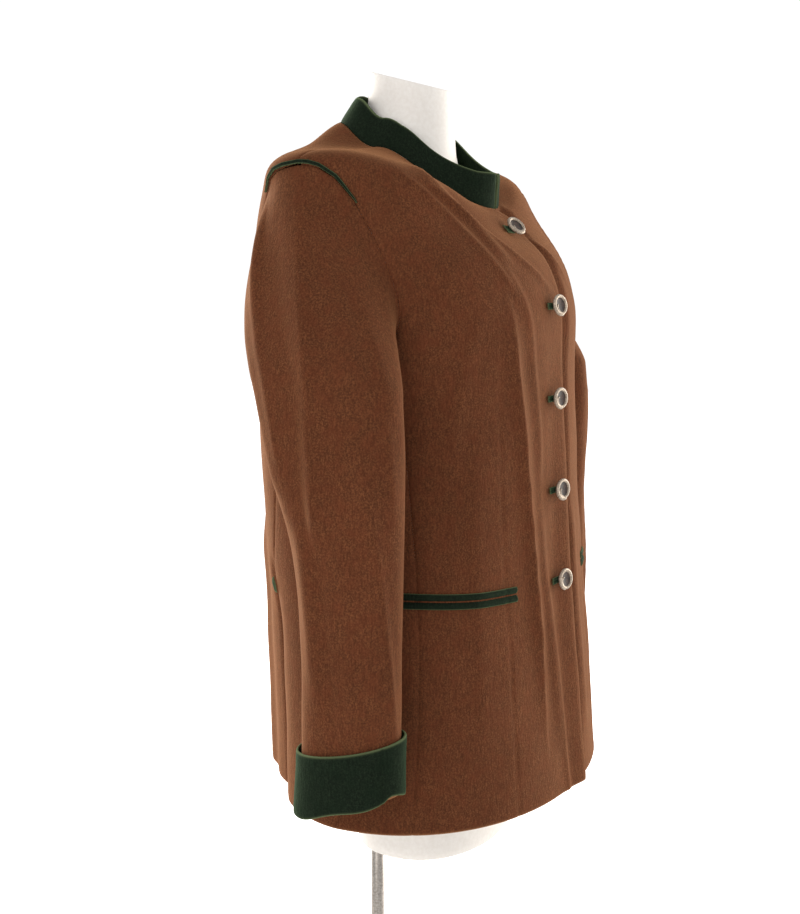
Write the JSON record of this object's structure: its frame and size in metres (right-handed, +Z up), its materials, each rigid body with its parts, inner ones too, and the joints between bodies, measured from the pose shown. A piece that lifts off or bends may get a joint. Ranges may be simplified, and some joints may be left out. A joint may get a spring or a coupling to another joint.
{
  "type": "tyrolean loden jacket on a dress form",
  "caption": "Hip-length wool jacket with green stand collar, cuffs and pocket welts, buttoned on a limbless dress form that stands on a round base.",
  "frame": {"origin": "on the floor under the middle of the jacket's hem, on the underside of the base plate", "axes": "+Z up; the wearer's front faces -Y and the wearer's right side is -X"},
  "size_m": [0.6082, 0.3367, 1.1001],
  "materials": {
    "loden": "matte milled wool, brown with a slight melange",
    "green_trim": "matte milled wool, dark green",
    "button": "aged silver metal rim round a dark brown horn-look centre",
    "form": "smooth white",
    "steel": "satin"
  },
  "bodies": {
    "root": {"front_right": "loden", "front_left": "loden", "back_right": "loden", "back_left": "loden", "side_right": "loden", "side_left": "loden", "sleeve_right_upper": "loden", "sleeve_left_upper": "loden", "sleeve_right_under": "loden", "sleeve_left_under": "loden", "edge_binding": "green_trim", "cuff_right": "green_trim", "cuff_left": "green_trim", "collar": "green_trim", "piping_right": "green_trim", "piping_left": "green_trim", "welt_right_upper": "green_trim", "welt_right_lower": "green_trim", "welt_left_upper": "green_trim", "welt_left_lower": "green_trim", "vent_tab_right": "green_trim", "vent_tab_left": "green_trim", "buttonhole_1": "green_trim", "buttonhole_2": "green_trim", "buttonhole_3": "green_trim", "buttonhole_4": "green_trim", "buttonhole_5": "green_trim", "button_1": "button", "button_2": "button", "button_3": "button", "button_4": "button", "button_5": "button", "dress_form": "form", "pole": "steel", "base_plate": "steel"}
  },
  "joints": []
}
